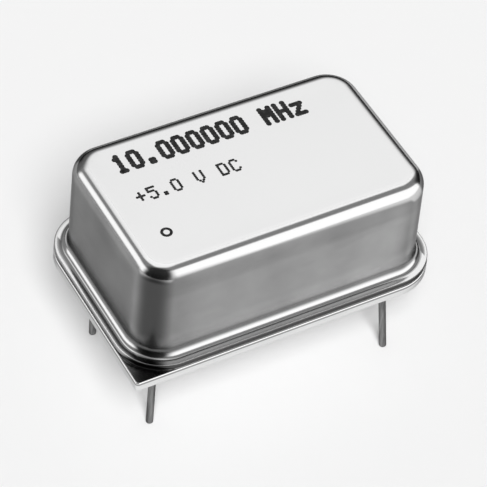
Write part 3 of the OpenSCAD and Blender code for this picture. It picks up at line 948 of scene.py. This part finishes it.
def printed_row(name, text, left, base, height, advance, radius):
    """A row of dot figures. left and base are the first figure's lower left dot. A dot and its
    nearest neighbours overlap, so they lie on different layers."""
    bm = bmesh.new()
    top_row = GLYPH_ROWS - 1
    row_step, column_step = height / top_row, advance / GLYPH_PITCH
    for i, letter in enumerate(text):
        for row, bits in enumerate(GLYPHS[letter]):
            for column, bit in enumerate(bits):
                if bit == "1":
                    x = left + i * advance + column * column_step
                    y = base + (top_row - row) * row_step
                    dot(bm, x, y, radius, (column + 2 * row) % INK_LAYERS)
    return finished(name, bm, "ink")


def printed_ring(name, centre, radius, width):
    bm = bmesh.new()
    z = dished(centre.x, centre.y)
    inner, outer = radius - width / 2, radius + width / 2
    section = [(inner, z), (outer, z), (outer, z + INK), (inner, z + INK), (inner, z)]
    turned(bm, section, centre.to_3d(), RING_STEPS)
    return finished(name, bm, "ink")


printed_row(
    "frequency_mark", "10.000000 MHz", left=-6.93 * MM, base=2.62 * MM, height=1.22 * MM,
    advance=0.96 * MM, radius=0.172 * MM)
printed_row(
    "voltage_mark", "+5.0 V DC", left=-6.95 * MM, base=0.04 * MM, height=0.84 * MM,
    advance=0.75 * MM, radius=0.088 * MM)
printed_ring("pin_1_mark", Vector((-6.67 * MM, -2.57 * MM)), 0.27 * MM, 0.17 * MM)


# ---------------------------------------------------------------------------------------------
# Studio
# ---------------------------------------------------------------------------------------------

# Brightness of the softboxes, and of the room that the metal mirrors between them. The room is
# darker beside the camera and behind the object, by the two losses.
OVERHEAD = 1.08
FRONT = 1.25
LEFT = 1.20
ROOM = 0.28
CAMERA_SIDE_LOSS = 0.25
BEHIND_LOSS = 0.24

# Brightness of the even light that is scattered, not mirrored, and what the camera sees more
AMBIENT = 0.3
BACKDROP = 0.6


def pointing(azimuth, elevation):
    """A direction, with its azimuth in degrees anticlockwise from +X."""
    a, e = math.radians(azimuth), math.radians(elevation)
    return Vector((math.cos(a) * math.cos(e), math.sin(a) * math.cos(e), math.sin(e)))


def panel(way, middle, *doors):
    """1 where a direction meets a softbox and 0 beside it. Each door is a straight edge of the
    box: two directions along it and the half width of its softness in degrees."""
    light = 1
    for first, second, softness in doors:
        inward = pointing(*first).cross(pointing(*second)).normalized()
        if inward.dot(pointing(*middle)) < 0:
            inward.negate()
        soft = math.sin(math.radians(softness))
        light = way.dot(inward).rise(-soft, soft) * light
    return light


def studio():
    """A dim room with a broad softbox overhead, a low one in front and another on the left."""
    world = bpy.data.worlds.new("studio")
    bpy.context.scene.world = world
    nodes = Nodes(world)
    way = nodes.add("ShaderNodeTexCoord")["Generated"]
    overhead = panel(
        way, (60, 66), ((0, 66), (-68, 79), 3), ((5, 52), (12, 33), 5), ((20, 25), (45, 25), 16),
        ((39, 22), (109, 44), 11), ((119, 46), (139, 60), 3), ((-172, 72), (-68, 79), 3))
    front_box = panel(
        way, (-50, 20), ((-22, 35), (-50, 52), 3), ((-88, 0), (-88, 30), 12), ((-8, 30), (-8, 0), 4))
    left_box = panel(
        way, (155, 20), ((165, 36), (133, 33), 4), ((130, 0), (130, 40), 4), ((180, 30), (180, 0), 8),
        ((140, 8), (170, 3), 4))
    camera_side = panel(
        way, (215, 20), ((175, 0), (175, 40), 8), ((254, 0), (268, 45), 6), ((170, 66), (250, 70), 4))
    behind = panel(
        way, (40, 8), ((110, 0), (110, 30), 5), ((-9, 0), (-9, 30), 4), ((0, 22), (65, 20), 8))
    room = ROOM - CAMERA_SIDE_LOSS * camera_side - BEHIND_LOSS * behind
    mirrored = room + overhead * OVERHEAD + front_box * FRONT + left_box * LEFT
    ray = nodes.add("ShaderNodeLightPath")
    seen = ray["Is Glossy Ray"] + ray["Is Transmission Ray"]
    strength = blend(AMBIENT, mirrored, seen) + BACKDROP * ray["Is Camera Ray"]
    background = nodes.add(
        "ShaderNodeBackground", inputs={"Color": grey(1), "Strength": strength})
    nodes.add("ShaderNodeOutputWorld", inputs={"Surface": background[0]})


SUN_WIDTH = math.radians(24)
SUN_POWER = 3.1
FLOOR_HALF = 1.5
FLOOR_TONE = 0.86


def soft_sun(name, azimuth, elevation):
    """A broad far lamp that shades the floor and isn't mirrored in the metal."""
    lamp = bpy.data.lights.new(name, "SUN")
    lamp.energy = SUN_POWER
    lamp.angle = SUN_WIDTH
    sun = bpy.data.objects.new(name, lamp)
    sun.rotation_euler = pointing(azimuth, elevation).to_track_quat("Z", "Y").to_euler()
    sun.visible_glossy = False
    bpy.context.scene.collection.objects.link(sun)


def floor_piece():
    """White paper under the pins' ends."""
    bm = bmesh.new()
    bmesh.ops.create_grid(
        bm, x_segments=1, y_segments=1, size=FLOOR_HALF,
        matrix=Matrix.Translation((0, 0, cad_box[0].z)))
    mesh = bpy.data.meshes.new("floor")
    bm.to_mesh(mesh)
    bm.free()
    floor = bpy.data.objects.new("floor", mesh)
    bpy.context.scene.collection.objects.link(floor)
    material = bpy.data.materials.new("floor_paper")
    nodes = Nodes(material)
    nodes.surface(Base_Color=grey(FLOOR_TONE), Roughness=0.9, Specular_IOR_Level=0.0)
    mesh.materials.append(material)


CAMERA_AZIMUTH = math.radians(-32.81)
CAMERA_ELEVATION = math.radians(46.73)
CAMERA_ROLL = math.radians(6.01)
CAMERA_AIM = Vector((-1.31, -2.19, 4.0)) * MM
CAMERA_DISTANCE = 147.85 * MM
FOCAL_LENGTH = 191.1


def camera():
    """The view from the front left, from above, with a long lens and a slight roll. Azimuth 0
    looks along +Y."""
    right = Vector((math.cos(CAMERA_AZIMUTH), math.sin(CAMERA_AZIMUTH), 0))
    level = Vector((math.sin(CAMERA_AZIMUTH), -math.cos(CAMERA_AZIMUTH), 0))
    back = level * math.cos(CAMERA_ELEVATION) + Vector((0, 0, math.sin(CAMERA_ELEVATION)))
    up = back.cross(right)
    lens = bpy.data.cameras.new("camera")
    lens.lens = FOCAL_LENGTH
    lens.sensor_width = 36
    lens.clip_start = 0.005
    lens.clip_end = 20
    eye = bpy.data.objects.new("camera", lens)
    view = Matrix((right, up, back)).transposed() @ Matrix.Rotation(CAMERA_ROLL, 3, "Z")
    eye.matrix_world = Matrix.Translation(CAMERA_AIM + back * CAMERA_DISTANCE) @ view.to_4x4()
    bpy.context.scene.collection.objects.link(eye)
    bpy.context.scene.camera = eye


studio()
soft_sun("key_lamp", 245, 50)
floor_piece()
camera()
bpy.context.scene.view_settings.view_transform = "Standard"
